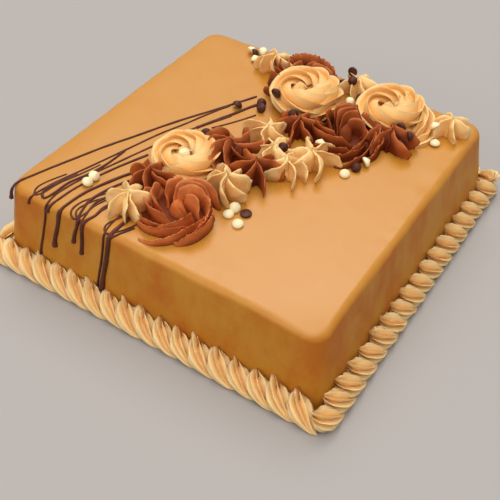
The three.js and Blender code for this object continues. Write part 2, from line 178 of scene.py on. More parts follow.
class CakeColours(PropertyGroup):
    """Colours of the icing, creams and chocolate, including the colours of painted crease shade and painted crest
    highlights.
    """
    icing: FloatVectorProperty(name="Icing", description="Smooth icing", default=(0.512, 0.222, 0.024, 1), size=4, subtype="COLOR")
    icing_deep: FloatVectorProperty(name="Deep icing", description="Where the icing is thin or smeared", default=(0.46, 0.122, 0.009, 1), size=4, subtype="COLOR")
    caramel: FloatVectorProperty(name="Caramel cream", description="Light piped cream", default=(0.84, 0.525, 0.205, 1), size=4, subtype="COLOR")
    # Painted shade in part: random darker patches of the light cream, and the painted shade in its grooves and at the
    # roots of its fins.
    caramel_patches_and_shade: FloatVectorProperty(name="Deep caramel cream", description="Darker patches and painted crease shade of the light cream", default=(0.80, 0.42, 0.11, 1), size=4, subtype="COLOR")
    # Painted light in part: the shells' cream is paler than the caramel cream, partly its own paler tone and partly
    # painted light standing in for light thrown up onto the shells from below.
    border: FloatVectorProperty(name="Border cream", description="Cream of the shells", default=(0.94, 0.665, 0.315, 1), size=4, subtype="COLOR")
    # Painted shade in part: random darker patches of the shells, and the painted shade in their grooves.
    border_patches_and_shade: FloatVectorProperty(name="Deep border cream", description="Grooves of the shells", default=(0.74, 0.37, 0.10, 1), size=4, subtype="COLOR")
    # Painted light: the front rosette's chocolate cream, brightened past the cream's own colour to stand in for the
    # stronger light on it.
    chocolate: FloatVectorProperty(name="Chocolate cream", description="Brown piped cream", default=(0.79, 0.222, 0.055, 1), size=4, subtype="COLOR")
    # Painted shade in part: random darker patches of the brown cream, and the painted shade in its hollows and at the
    # roots of its fins.
    chocolate_patches_and_shade: FloatVectorProperty(name="Deep chocolate cream", description="Darker patches and painted crease shade of the brown cream", default=(0.13, 0.020, 0.005, 1), size=4, subtype="COLOR")
    # Painted highlight: the colour that thin crests of the brown cream are lightened towards, standing in for light
    # caught on the edges.
    chocolate_crest_highlight: FloatVectorProperty(name="Chocolate edges", description="Thin edges of the brown cream", default=(0.62, 0.215, 0.07, 1), size=4, subtype="COLOR")
    # Painted shade: a darker copy of the chocolate cream for the stars and the back rosettes, standing in for the shade
    # on them.
    shaded_chocolate: FloatVectorProperty(name="Shaded chocolate cream", description="Cream of the brown stars", default=(0.19, 0.031, 0.0085, 1), size=4, subtype="COLOR")
    drizzle: FloatVectorProperty(name="Drizzle", description="Set chocolate drizzle", default=(0.11, 0.028, 0.017, 1), size=4, subtype="COLOR")
    dark: FloatVectorProperty(name="Dark chips", description="Dark chocolate chips", default=(0.055, 0.014, 0.008, 1), size=4, subtype="COLOR")
    white: FloatVectorProperty(name="White chips", description="White chocolate chips", default=(0.93, 0.80, 0.50, 1), size=4, subtype="COLOR")


def smooth(low, high, value):
    """0 below low, 1 above high and a soft step between."""
    share = min(1, max(0, (value - low) / (high - low)))
    return share * share * (3 - 2 * share)


def waver(point, size, seed):
    """A soft random number from -1 to 1 that changes over about that many millimetres."""
    return noise.noise(point / size + Vector((seed, seed * 2.3, seed * 3.7)))


def sizes():
    return bpy.context.scene.cake_sizes


def colours():
    return bpy.context.scene.cake_colours


# ---------------------------------------------------------------- materials

def add_node(tree, kind, **values):
    """A node of that kind, with its settings and its sockets' values or links given by name."""
    node = tree.nodes.new(kind)
    for name, value in values.items():
        if hasattr(node, name):
            setattr(node, name, value)
            continue
        socket = node.inputs[name.replace("_", " ")]
        if isinstance(value, bpy.types.NodeSocket):
            tree.links.new(value, socket)
        else:
            socket.default_value = value
    return node


def mottle_group():
    """The shared effect: two colours that drift into each other, painted shade towards the deep colour at fin roots and
    in grooves, a painted highlight on thin crests, and a fine height for bumps.
    """
    name = "Mottle"
    if name in bpy.data.node_groups:
        return bpy.data.node_groups[name]
    tree = bpy.data.node_groups.new(name, "ShaderNodeTree")
    face = tree.interface
    for label, kind in (("Colour", "NodeSocketColor"), ("Deep colour", "NodeSocketColor"),
                        ("Patch size", "NodeSocketFloat"), ("Grain size", "NodeSocketFloat"),
                        ("Stretch", "NodeSocketVector"), ("Amount", "NodeSocketFloat"),
                        ("Rim colour", "NodeSocketColor"), ("Rim", "NodeSocketFloat"), ("Root", "NodeSocketFloat"),
                        ("Walls", "NodeSocketFloat"), ("Sheen", "NodeSocketFloat")):
        face.new_socket(name=label, in_out="INPUT", socket_type=kind)
    for label, kind in (("Colour", "NodeSocketColor"), ("Patches", "NodeSocketFloat"), ("Height", "NodeSocketFloat"), ("Coat", "NodeSocketFloat")):
        face.new_socket(name=label, in_out="OUTPUT", socket_type=kind)
    given = tree.nodes.new("NodeGroupInput")
    made = tree.nodes.new("NodeGroupOutput")
    where = tree.nodes.new("ShaderNodeTexCoord")
    stretched = add_node(tree, "ShaderNodeVectorMath", operation="MULTIPLY")
    tree.links.new(where.outputs["Object"], stretched.inputs[0])
    tree.links.new(given.outputs["Stretch"], stretched.inputs[1])
    patches = add_node(tree, "ShaderNodeTexNoise", Vector=stretched.outputs[0], Scale=given.outputs["Patch size"], Detail=4.0, Roughness=0.6)
    grain = add_node(tree, "ShaderNodeTexNoise", Vector=where.outputs["Object"], Scale=given.outputs["Grain size"], Detail=3.0, Roughness=0.55)
    share = add_node(tree, "ShaderNodeMapRange", Value=patches.outputs["Fac"])
    share.inputs["From Min"].default_value = 0.4
    share.inputs["From Max"].default_value = 0.62
    tree.links.new(given.outputs["Amount"], share.inputs["To Max"])
    facing = add_node(tree, "ShaderNodeSeparateXYZ", Vector=where.outputs["Normal"])
    level = add_node(tree, "ShaderNodeMapRange", Value=facing.outputs["Z"])
    level.inputs["From Min"].default_value = 0.3
    level.inputs["From Max"].default_value = 0.95
    level.inputs["To Min"].default_value = 1.0
    level.inputs["To Max"].default_value = 0.0
    upright = add_node(tree, "ShaderNodeMix", data_type="FLOAT")
    tree.links.new(given.outputs["Walls"], upright.inputs[0])
    upright.inputs[2].default_value = 1.0
    tree.links.new(level.outputs["Result"], upright.inputs[3])
    flatness = add_node(tree, "ShaderNodeMath", operation="SUBTRACT")
    flatness.inputs[0].default_value = 1.0
    tree.links.new(level.outputs["Result"], flatness.inputs[1])
    coat = add_node(tree, "ShaderNodeMath", operation="MULTIPLY")
    tree.links.new(flatness.outputs[0], coat.inputs[0])
    tree.links.new(given.outputs["Sheen"], coat.inputs[1])
    kept = add_node(tree, "ShaderNodeMath", operation="MULTIPLY")
    tree.links.new(share.outputs["Result"], kept.inputs[0])
    tree.links.new(upright.outputs[0], kept.inputs[1])
    crest = add_node(tree, "ShaderNodeAttribute", attribute_name="crest")
    # Painted shade: low on the crest layer, at fin roots and in grooves, the colour is pulled towards the deep colour
    # by the crease shade share.
    low = add_node(tree, "ShaderNodeMapRange", Value=crest.outputs["Fac"])
    low.inputs["From Min"].default_value = 0.1
    low.inputs["From Max"].default_value = 0.75
    low.inputs["To Max"].default_value = 0.0
    tree.links.new(given.outputs["Root"], low.inputs["To Min"])
    sunk = add_node(tree, "ShaderNodeMath", operation="MAXIMUM")
    tree.links.new(kept.outputs[0], sunk.inputs[0])
    tree.links.new(low.outputs["Result"], sunk.inputs[1])
    mixed = add_node(tree, "ShaderNodeMix", data_type="RGBA")
    tree.links.new(sunk.outputs[0], mixed.inputs["Factor"])
    tree.links.new(given.outputs["Colour"], mixed.inputs[6])
    tree.links.new(given.outputs["Deep colour"], mixed.inputs[7])
    # Painted highlight: near the top of the crest layer the colour is lightened towards the crest highlight colour,
    # standing in for light caught on thin edges.
    rim = add_node(tree, "ShaderNodeMapRange", Value=crest.outputs["Fac"])
    rim.inputs["From Min"].default_value = 0.45
    rim.inputs["From Max"].default_value = 1.0
    tree.links.new(given.outputs["Rim"], rim.inputs["To Max"])
    edged = add_node(tree, "ShaderNodeMix", data_type="RGBA")
    tree.links.new(rim.outputs["Result"], edged.inputs["Factor"])
    tree.links.new(mixed.outputs[2], edged.inputs[6])
    tree.links.new(given.outputs["Rim colour"], edged.inputs[7])
    tree.links.new(edged.outputs[2], made.inputs["Colour"])
    tree.links.new(share.outputs["Result"], made.inputs["Patches"])
    tree.links.new(grain.outputs["Fac"], made.inputs["Height"])
    tree.links.new(coat.outputs[0], made.inputs["Coat"])
    return tree


def finish_material(name, colour, deep, patch, grain, stretch, amount, rough, rough_deep, bump, scatter, gloss, coat=0.0, rim=(1, 1, 1, 1), crest_highlight_share=0.0, root=0.0, walls=0.0):
    """A food finish: mottled colour with painted crease shade and a painted crest highlight, roughness that follows it,
    a fine bump and some light let through.
    """
    material = bpy.data.materials.new(name)
    material.use_nodes = True
    tree = material.node_tree
    tree.nodes.clear()
    mottle = tree.nodes.new("ShaderNodeGroup")
    mottle.node_tree = mottle_group()
    mottle.inputs["Colour"].default_value = colour
    mottle.inputs["Deep colour"].default_value = deep
    mottle.inputs["Patch size"].default_value = patch
    mottle.inputs["Grain size"].default_value = grain
    mottle.inputs["Stretch"].default_value = stretch
    mottle.inputs["Amount"].default_value = amount
    mottle.inputs["Rim colour"].default_value = rim
    mottle.inputs["Rim"].default_value = crest_highlight_share
    mottle.inputs["Root"].default_value = root
    mottle.inputs["Walls"].default_value = walls
    rough_range = add_node(tree, "ShaderNodeMapRange", Value=mottle.outputs["Patches"])
    rough_range.inputs["To Min"].default_value = rough
    rough_range.inputs["To Max"].default_value = rough_deep
    relief = add_node(tree, "ShaderNodeBump", Height=mottle.outputs["Height"], Strength=bump, Distance=0.0006)
    shader = tree.nodes.new("ShaderNodeBsdfPrincipled")
    tree.links.new(mottle.outputs["Colour"], shader.inputs["Base Color"])
    tree.links.new(rough_range.outputs["Result"], shader.inputs["Roughness"])
    tree.links.new(relief.outputs["Normal"], shader.inputs["Normal"])
    shader.inputs["Subsurface Weight"].default_value = scatter
    shader.inputs["Subsurface Radius"].default_value = (1.0, 0.45, 0.2)
    shader.inputs["Subsurface Scale"].default_value = 0.004
    shader.inputs["Specular IOR Level"].default_value = gloss
    mottle.inputs["Sheen"].default_value = coat
    tree.links.new(mottle.outputs["Coat"], shader.inputs["Coat Weight"])
    shader.inputs["Coat Roughness"].default_value = 0.32
    output = tree.nodes.new("ShaderNodeOutputMaterial")
    tree.links.new(shader.outputs["BSDF"], output.inputs["Surface"])
    return material


def material(name):
    """The named finish, made the first time it is asked for."""
    known = name + "_finish"
    if known in bpy.data.materials:
        return bpy.data.materials[known]
    tint = colours()
    even = (1, 1, 1)
    recipes = {
        # After coat, a recipe gives the crest highlight colour and share, which paint a highlight on thin crests, the
        # crease shade share, which paints shade at fin roots and in grooves, and how far patches keep to upright faces.
        "icing": (tint.icing, tint.icing_deep, 38, 900, (1, 1, 0.55), 0.8, 0.42, 0.5, 0.14, 0.2, 0.14, 0.7, tint.icing, 0.0, 0.0, 0.93),
        "caramel_cream": (tint.caramel, tint.caramel_patches_and_shade, 60, 1500, even, 0.35, 0.5, 0.6, 0.25, 0.2, 0.35, 0.0, tint.border, 0.55, 0.7),
        "border_cream": (tint.border, tint.border_patches_and_shade, 45, 1500, even, 0.2, 0.5, 0.6, 0.25, 0.2, 0.35, 0.0, tint.border, 1.0, 0.6),
        "chocolate_cream": (tint.chocolate, tint.chocolate_patches_and_shade, 70, 1200, even, 0.5, 0.5, 0.6, 0.35, 0.0, 0.15, 0.0, tint.chocolate_crest_highlight, 0.6, 0.95),
        "shaded_chocolate": (tint.shaded_chocolate, tint.chocolate_patches_and_shade, 70, 1200, even, 0.5, 0.45, 0.55, 0.35, 0.0, 0.18, 0.0, tint.chocolate, 0.55, 0.95),
        "drizzle": (tint.drizzle, tint.dark, 90, 900, even, 0.6, 0.35, 0.42, 0.1, 0.0, 0.2),
        "dark_chocolate": (tint.dark, tint.drizzle, 300, 2500, even, 0.6, 0.38, 0.5, 0.2, 0.0, 0.25),
        "white_chocolate": (tint.white, tint.white, 200, 2500, even, 0.5, 0.4, 0.5, 0.15, 0.2, 0.35),
    }
    return finish_material(known, *recipes[name])


# ---------------------------------------------------------------- shared shaping

def wrap(skin, around, along, place, crest=None):
    """Adds a closed skin: a flat grid whose corners go where place puts them, by the share round and the share along."""
    # The crest layer runs from 0 at roots to 1 on crests; the finishes use it to place painted crease shade and painted
    # crest highlights.
    mark = skin.verts.layers.float.get("crest") or skin.verts.layers.float.new("crest")
    corners = bmesh.ops.create_grid(skin, x_segments=around, y_segments=along, size=1)["verts"]
    low = Vector((min(c.co.x for c in corners), min(c.co.y for c in corners)))
    high = Vector((max(c.co.x for c in corners), max(c.co.y for c in corners)))
    for corner in corners:
        across = (corner.co.x - low.x) / (high.x - low.x)
        forward = (corner.co.y - low.y) / (high.y - low.y)
        corner.co = place(across % 1, forward)
        corner[mark] = crest(across % 1, forward) if crest else 0
    bmesh.ops.remove_doubles(skin, verts=corners, dist=WELD)


def set_down(skin, name, finish, slot, stands_for):
    """Turns a skin in millimetres into a piece on the cake's body."""
    bmesh.ops.dissolve_degenerate(skin, dist=WELD / 4, edges=skin.edges)
    bmesh.ops.recalc_face_normals(skin, faces=skin.faces)
    bmesh.ops.scale(skin, vec=(MM, MM, MM), verts=skin.verts)
    for face in skin.faces:
        face.smooth = True
    mesh = bpy.data.meshes.new(name)
    skin.to_mesh(mesh)
    skin.free()
    mesh.materials.append(material(finish))
    piece = bpy.data.objects.new(name, mesh)
    bpy.context.scene.collection.objects.link(piece)
    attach(piece, "root")
    if stands_for:
        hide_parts(*stands_for)
    return piece


def rib(turn, count, depth, peak, rise, thin):
    """Reach and turn of a point on a ribbed section: each rib climbs to a thin crest at its peak, then drops again."""
    which, step = divmod(turn * count, 1)
    if step < rise:
        left = 1 - step / rise
        shift = peak * (1 - left ** thin)
    else:
        left = (step - rise) / (1 - rise)
        shift = peak + (1 - peak) * left ** thin
    return 1 - depth * left, (which + shift) / count


def follow(places, share):
    """The point that far along a smooth line through the places."""
    last = len(places) - 1
    first = min(int(share * last), last - 1)
    step = share * last - first
    before = places[max(first - 1, 0)]
    start = places[first]
    end = places[first + 1]
    after = places[min(first + 2, last)]
    bend_in = (end - before) / 2
    bend_out = (after - start) / 2
    return (start * (1 + 2 * step) * (1 - step) ** 2 + bend_in * step * (1 - step) ** 2
            + end * step * step * (3 - 2 * step) + bend_out * step * step * (step - 1))


# ---------------------------------------------------------------- icing and drizzle

def settle_icing(point):
    """Where a point of the squared, rounded cake lies once the walls flare and the icing waves a little."""
    size = sizes()
    half, height, flare = size.half_side / MM, size.height / MM, size.flare / MM
    drop = (height - point.z) / height
    spread = 1 + flare / half * drop
    x, y, z = point.x * spread, point.y * spread, point.z
    high = smooth(0.1, 1, 1 - drop)
    near_edge = smooth(half - 16, half, max(abs(point.x), abs(point.y)))
    flat = Vector((point.x, point.y, 0))
    z += high * (0.25 * waver(flat, 60, 1) + 0.1 * waver(flat, 13, 5) + near_edge * (0.5 * waver(flat, 23, 2) + 0.5 * waver(flat, 9, 6) - 0.35))
    corner = (Vector((point.x - half, point.y + half))).length
    z -= high * 3.8 * math.exp(-(corner / 23) ** 2)
    side = 0.6 * waver(point, 42, 3) + 0.35 * waver(point, 14, 4) + 0.3 * waver(point, 8, 7)
    outward = Vector((point.x if abs(point.x) > half - 14 else 0, point.y if abs(point.y) > half - 14 else 0, 0))
    if outward.length > 0:
        push = outward.normalized() * side * (0.5 + 0.5 * smooth(0, 0.25, drop))
        x += push.x
        y += push.y
    return Vector((x, y, z))


def front_skin(x, run):
    """A point of the top or front, and the way it faces, from its place on the unrolled sheet."""
    size = sizes()
    half, height, edge = size.half_side / MM, size.height / MM, size.edge / MM
    y = max(run, -half)
    z = height if run > -half else height + half + run
    inner = Vector((0, max(y, -half + edge), min(z, height - edge)))
    facing = Vector((0, y, z)) - inner
    facing = facing.normalized() if facing.length > 0 else UP
    inner.x = x
    return settle_icing(inner + facing * edge), facing


def add_strand(skin, width, places, seed):
    """One thread of chocolate laid on the icing, thicker where it pools and where it ends."""
    line = [Vector(place) for place in places]
    length = sum((b - a).length for a, b in zip(line, line[1:]))
    steps = int(length / 1.1)
    runs_down = line[0].y < -sizes().half_side / MM

    def place(turn, along):
        spot = follow(line, along)
        ahead = follow(line, min(along + 0.004, 1)) - follow(line, max(along - 0.004, 0))
        middle, facing = front_skin(spot.x, spot.y)
        tip, _ = front_skin(spot.x + ahead.x, spot.y + ahead.y)
        forward = (tip - middle).normalized()
        side = forward.cross(facing).normalized()
        walked = along * length
        ends = math.sqrt(max(0, 1 - (1 - min(1, walked / (width * 0.7))) ** 2))
        ends *= math.sqrt(max(0, 1 - (1 - min(1, (length - walked) / (width * 0.7))) ** 2))
        slim = 0.8 if spot.y > -118 else 1.0
        swell = slim + 0.28 * noise.noise(Vector((walked / 9, seed * 5.1, 0)))
        if runs_down:
            swell += 0.45 * math.exp(-((walked - width) / (1.3 * width)) ** 2)
        angle = turn * FULL
        reach = width / 2 * swell * ends
        thick = 0.62 * width * (0.8 + 0.2 * swell) * ends * (1.15 if spot.y < -118 else 0.75)
        lift = math.sin(angle)
        return middle + side * math.cos(angle) * reach + facing * thick * (lift if lift > 0 else lift * 0.4)

    wrap(skin, 12, steps, place)


class CAKE_OT_icing(Operator):
    """Make the iced cake: a square block with soft corners and flared, slightly wavy walls"""
    bl_idname = "cake.icing"
    bl_label = "Icing"

    def execute(self, context):
        size = sizes()
        half, height = size.half_side / MM, size.height / MM
        skin = bmesh.new()
        bmesh.ops.create_cube(skin, size=1)
        bmesh.ops.scale(skin, vec=(2 * half, 2 * half, height), verts=skin.verts)
        bmesh.ops.translate(skin, vec=(0, 0, height / 2), verts=skin.verts)
        uprights = [e for e in skin.edges if abs(e.verts[0].co.z - e.verts[1].co.z) > 1]
        bmesh.ops.bevel(skin, geom=uprights, offset=size.corner / MM, offset_type="OFFSET", affect="EDGES", segments=12, profile=0.5, material=-1)
        rim = [e for e in skin.edges if all(v.co.z > height - WELD for v in e.verts)]
        bmesh.ops.bevel(skin, geom=rim, offset=size.edge / MM, offset_type="OFFSET", affect="EDGES", segments=8, profile=0.5, material=-1)
        grid = size.grid / MM
        cuts = int((2 * half - 24) / grid)
        for cut in range(cuts + 1):
            level = -half + 12 + cut * (2 * half - 24) / cuts
            for way in (Vector((1, 0, 0)), Vector((0, 1, 0))):
                bmesh.ops.bisect_plane(skin, geom=skin.verts[:] + skin.edges[:] + skin.faces[:], dist=WELD, plane_co=way * level, plane_no=way)
        for cut in range(1, int((height - 8) / grid)):
            bmesh.ops.bisect_plane(skin, geom=skin.verts[:] + skin.edges[:] + skin.faces[:], dist=WELD, plane_co=UP * cut * grid, plane_no=UP)
        for corner in skin.verts:
            corner.co = settle_icing(corner.co)
        set_down(skin, "icing", "icing", "caramel_icing", ["cake"])
        return {"FINISHED"}


class CAKE_OT_drizzle(Operator):
    """Lay the chocolate drizzle over the top and let it run down the front"""
    bl_idname = "cake.drizzle"
    bl_label = "Drizzle"

    def execute(self, context):
        skin = bmesh.new()
        for seed, (width, places) in enumerate(STRANDS):
            add_strand(skin, width, places, seed)
        set_down(skin, "drizzle", "drizzle", "chocolate_drizzle", [])
        return {"FINISHED"}


# ---------------------------------------------------------------- piped cream

FIN_CREST = [Vector(p) for p in ((0.02, 1.08), (0.1, 1.0), (0.36, 0.97), (0.72, 0.86), (0.99, 0.58), (1.03, 0.26), (0.9, 0))]
FIN_ROOT = [Vector(p) for p in ((0, 0.95), (0.02, 0.8), (0.04, 0.6), (0.06, 0.4), (0.08, 0.2), (0.1, 0.1), (0.1, 0))]


def fin_crest(turn, along):
    """0 at a fin's root and 1 on its crest."""
    return 1 - abs(2 * turn - 1)


def add_fin(skin, middle, radius, height, angle, curl, bow, edge, tip, seed):
    """One thin upright leaf of a star: its crest runs from the pinched tip out and down to the foot."""
    def place(turn, along):
        out = 1 - abs(2 * turn - 1)
        side = 1 if turn < 0.5 else -1
        crest = follow(FIN_CREST, along)
        root = follow(FIN_ROOT, along)
        spot = root.lerp(crest, out)
        closed = math.sqrt(max(0, 1 - abs(2 * along - 1) ** 6))
        thick = (0.13 * radius * (1 - out) ** 1.6 + edge * math.sqrt(1 - out ** 6)) * closed * side
        aim = angle + curl * (spot.x - 0.5 * spot.y)
        lean = bow * radius * out * out * math.sin(math.pi * along) * (0.4 + 0.6 * spot.y)
        away = Vector((math.cos(aim), math.sin(aim), 0))
        across = Vector((-away.y, away.x, 0))
        point = middle + away * spot.x * radius + across * (thick + lean) + UP * spot.y * height + tip * spot.y * spot.y
        sway = smooth(0, 0.2, spot.y) * (0.3 + 0.7 * out)
        point += Vector((waver(point, 6, seed), waver(point, 6, seed + 40), waver(point, 6, seed + 80) * 0.6)) * 1.5 * sway
        frayed = smooth(0.75, 1, out) * closed
        return point + (away * waver(point, 1.4, seed + 9) + UP * waver(point, 1.1, seed + 13)) * 0.5 * frayed

    wrap(skin, 22, 26, place, fin_crest)


def add_star(skin, x, y, floor, radius, height, start, twist, seed, fins, edge, lean):
    """A star piped straight down and pulled off: thin fins fan out from a pinched tip."""
    rng = random.Random(seed)
    tip = Vector((rng.uniform(-0.16, 0.16), rng.uniform(-0.16, 0.16), 0)) * radius
    add_bud(skin, x, y, floor, radius * 0.45, height * 0.8, start, twist, seed + 3, ribs=fins, depth=0.3)
    for fin in range(fins):
        angle = math.radians(start) + FULL * fin / fins + rng.uniform(-0.16, 0.16)
        long, tall = 1 + rng.uniform(-0.14, 0.1), 1 + rng.uniform(-0.12, 0.08)
        curl = twist * rng.uniform(0.6, 1.2)
        bow = lean * rng.uniform(0.2, 1.2) * (1 if twist > 0 else -1)
        add_fin(skin, Vector((x, y, floor)), radius * long, height * tall, angle, curl, bow, edge, tip, seed * 10 + fin)


def add_bud(skin, x, y, floor, radius, height, start, twist, seed, ribs=6, depth=0.6, lean=0.3, thin=2.0, lit=0.0):
    """A ribbed drop of cream that closes to a bent tip."""
    rng = random.Random(seed)
    hand = 1 if twist > 0 else -1
    lengths = [1 + rng.uniform(-0.13, 0.13) for _ in range(ribs)]
    lifts = [rng.uniform(-0.07, 0.07) for _ in range(ribs)]
    bend = Vector((rng.uniform(-0.14, 0.14), rng.uniform(-0.14, 0.14), 0)) * radius
    profile = [Vector(p) for p in ((0, 0), (0.78, 0), (0.97, 0.06), (1.0, 0.20), (0.90, 0.44), (0.66, 0.72), (0.34, 0.92), (0.08, 1.05), (0, 1.07))]
    middle = Vector((x, y, floor))

    def place(turn, along):
        reach, rise = follow(profile, along)
        deep = depth * (0.5 + 0.5 * smooth(1.07, 0.6, rise))
        side, round_ = rib(turn, ribs, deep, 0.5 + 0.5 * lean, 0.55, thin)
        which = int(turn * ribs) % ribs
        nearness = 1 - abs(turn * ribs % 1 - 0.55) / 0.55
        side *= 1 + (lengths[which] - 1) * nearness
        angle = hand * (FULL * round_ + math.radians(start)) + twist * rise * rise
        out = max(0, reach) * radius * side
        high = rise * height * (1 + lifts[which] * nearness)
        point = middle + Vector((math.cos(angle) * out, math.sin(angle) * out, high)) + bend * rise * rise
        ragged = 0.16 * waver(point, 1.3, seed + 9) * max(0, nearness) ** 4
        point += Vector((waver(point, 7, seed), waver(point, 7, seed + 40), waver(point, 7, seed + 80) * 0.6)) * 0.8 * smooth(0, 0.2, rise)
        return point + Vector((math.cos(angle), math.sin(angle), 0.5)) * ragged

    wrap(skin, ribs * 14, 30, place, lambda turn, along: lit)


def add_petal(skin, middle, radius, height, turn, fin, edge, seed):
    """One long thin fin of a rosette: it rises from the hollow in the middle, winds round and peels off to the rim."""
    start, sweep, outs, tops, fray = fin
    line = [Vector(pair) for pair in zip(outs, tops)]

    def place(turned, along):
        out = 1 - abs(2 * turned - 1)
        side = 1 if turned < 0.5 else -1
        spot = follow(line, along)
        closed = math.sqrt(max(0, 1 - abs(2 * along - 1) ** 8))
        high = height * spot.y * (0.3 + 0.7 * smooth(0, 0.25, along)) * (1 - 0.5 * smooth(0.78, 1, along))
        thick = (0.085 * radius * (1 - out) ** 1.5 + edge * math.sqrt(1 - out ** 6)) * closed * side
        aim = math.radians(turn + start - sweep * along)
        away = Vector((math.cos(aim), math.sin(aim), 0))
        peel = (0.10 * out * out * math.sin(math.pi * along) - 0.04) * radius
        point = middle + away * (radius * spot.x + thick + peel) + UP * max(high * out - 0.2, -0.2)
        point += Vector((waver(point, 8, seed), waver(point, 8, seed + 40), waver(point, 8, seed + 80) * 0.7)) * 1.4 * (0.3 + 0.7 * out)
        frayed = smooth(0.7, 1, out) * closed * (0.25 + fray)
        return point + (away * waver(point, 1.5, seed + 9) + UP * waver(point, 1.2, seed + 13)) * 0.7 * frayed

    wrap(skin, 22, 64, place, fin_crest)


def add_rosette(skin, x, y, floor, radius, height, turn, seed):
    """A rosette: a knob in a hollow and long fins that wind round it and peel outwards, over a low bed of cream."""
    rng = random.Random(seed)
    add_bud(skin, x, y, floor, radius * 0.19, height * 0.72, turn, -1.2, seed + 3, ribs=4, depth=0.12, lean=0.6, thin=1.2, lit=0.6)
    add_bud(skin, x, y, floor, radius * 0.88, height * 0.16, turn, 0, seed + 5, ribs=4, depth=0.04, lean=0.6, thin=1.2)
    for number, (start, sweep, outs, tops, fray) in enumerate(ROSETTE_FINS):
        grown = 1 + rng.uniform(-0.04, 0.04)
        fin = (start + rng.uniform(-5, 5), sweep, [out * grown for out in outs], tops, fray)
        add_petal(skin, Vector((x, y, floor)), radius, height, turn, fin, 0.22, seed * 20 + number)


EYE_ALONG = 0.46
EYE_SHIFT = 0.14


def add_swirl(skin, x, y, floor, radius, height, hand, end, turns, heart, hollow, seed, ribs=8, roll=0.85):
    """A swirl: a rope of ribbed cream wound round its own start, ending in a tail on the icing."""
    start = math.radians(end) - hand * FULL * turns
    eye = start + hand * FULL * turns * EYE_ALONG
    heart_x = x + math.cos(eye) * EYE_SHIFT * radius
    heart_y = y + math.sin(eye) * EYE_SHIFT * radius
    add_bud(skin, heart_x, heart_y, floor, radius * (hollow + 0.29), height * heart, end, 1.8 * hand, seed + 3, ribs=5, depth=0.32, lean=0.7, thin=1.4, lit=0.8)

    def place(turn, along):
        grown = smooth(-0.02, 0.16, along)
        tail = smooth(0.84, 1, along)
        size = grown * (1 - 0.72 * tail)
        size *= math.sqrt(max(0, 1 - (1 - min(1, along / 0.02)) ** 2)) * math.sqrt(max(0, 1 - (1 - min(1, (1 - along) / 0.02)) ** 2))
        girth = (0.78 - hollow) / 2
        run = radius * (hollow + girth + 0.19 * along ** 0.8 + 0.2 * tail)
        reach, round_ = rib(turn, ribs, 0.5, 1.14, 0.74, 1.7)
        crest = max(0, 1 - abs(turn * ribs % 1 - 0.72) / 0.2)
        swing = FULL * (round_ + roll * turns * along)
        wide = girth * radius * size
        tall = 0.55 * height * size
        middle = tall * (1 - 0.12 * tail)
        reach += 0.022 * crest * noise.noise(Vector((along * 90, int(turn * ribs) * 7.3, seed)))
        out = run + wide * reach * math.cos(swing)
        rise = middle + tall * reach * math.sin(swing)
        out = out if out > 0.4 else 0.4
        angle = start + hand * FULL * turns * along
        point = Vector((x + out * math.cos(angle), y + out * math.sin(angle), floor + max(rise, -0.2)))
        point += Vector((waver(point, 9, seed), waver(point, 9, seed + 40), waver(point, 9, seed + 80) * 0.7)) * 0.9 * size
        return point

    def crest(turn, along):
        reach, _ = rib(turn, ribs, 1, 1.14, 0.74, 1.7)
        return reach

    wrap(skin, ribs * 16, int(120 * turns), place, crest)


class CAKE_OT_rosettes(Operator):
    """Pipe the large rosettes of chocolate and caramel cream"""
    bl_idname = "cake.rosettes"
    bl_label = "Rosettes"

    def execute(self, context):
        floor = sizes().height / MM - 0.8
        for seed, (name, x, y, *shape) in enumerate(ROSETTES + SWIRLS):
            cream, pipe = ("chocolate_cream", add_rosette) if "chocolate" in name else ("caramel_cream", add_swirl)
            # Painted shade: the back rosettes take the darker chocolate copy.
            finish = "shaded_chocolate" if name in SHADED_ROSETTES else cream
            skin = bmesh.new()
            pipe(skin, x, y, floor, *shape, seed + 11)
            for number, ribbon in enumerate(RIBBONS.get(name, [])):
                add_petal(skin, Vector((x, y, floor)), shape[0], shape[1], 0, ribbon, 0.6, number + 900)
            set_down(skin, "piped_" + name, finish, cream, [name])
        return {"FINISHED"}


class CAKE_OT_stars(Operator):
    """Pipe the smaller stars of chocolate and caramel cream"""
    bl_idname = "cake.stars"
    bl_label = "Stars"

    def execute(self, context):
        floor = sizes().height / MM - 0.8
        for seed, (name, x, y, radius, height, start, twist, fins) in enumerate(STARS):
            brown = "chocolate" in name
            edge, lean = (0.35, 0.12) if brown else (0.75, 0.3)
            skin = bmesh.new()
            add_star(skin, x, y, floor, radius, height, start, twist, seed + 31, fins, edge, lean)
            # Painted shade: the brown stars take the darker chocolate copy.
            finish = "shaded_chocolate" if brown else "caramel_cream"
            set_down(skin, "piped_" + name, finish, "chocolate_cream" if brown else "caramel_cream", [name])
        return {"FINISHED"}


SHELL_PATH = [Vector(p) for p in ((-3.0, -1.6, 9.6), (0.6, -1.0, 9.0), (3.0, 1.0, 8.0), (5.2, 4.8, 6.0), (7.1, 9.0, 3.7), (8.5, 13.2, 2.0), (9.2, 17.0, 0.9))]
SHELL_GIRTH = [Vector((g, 0)) for g in (0.3, 5.6, 7.6, 6.9, 4.7, 2.5, 0.1)]


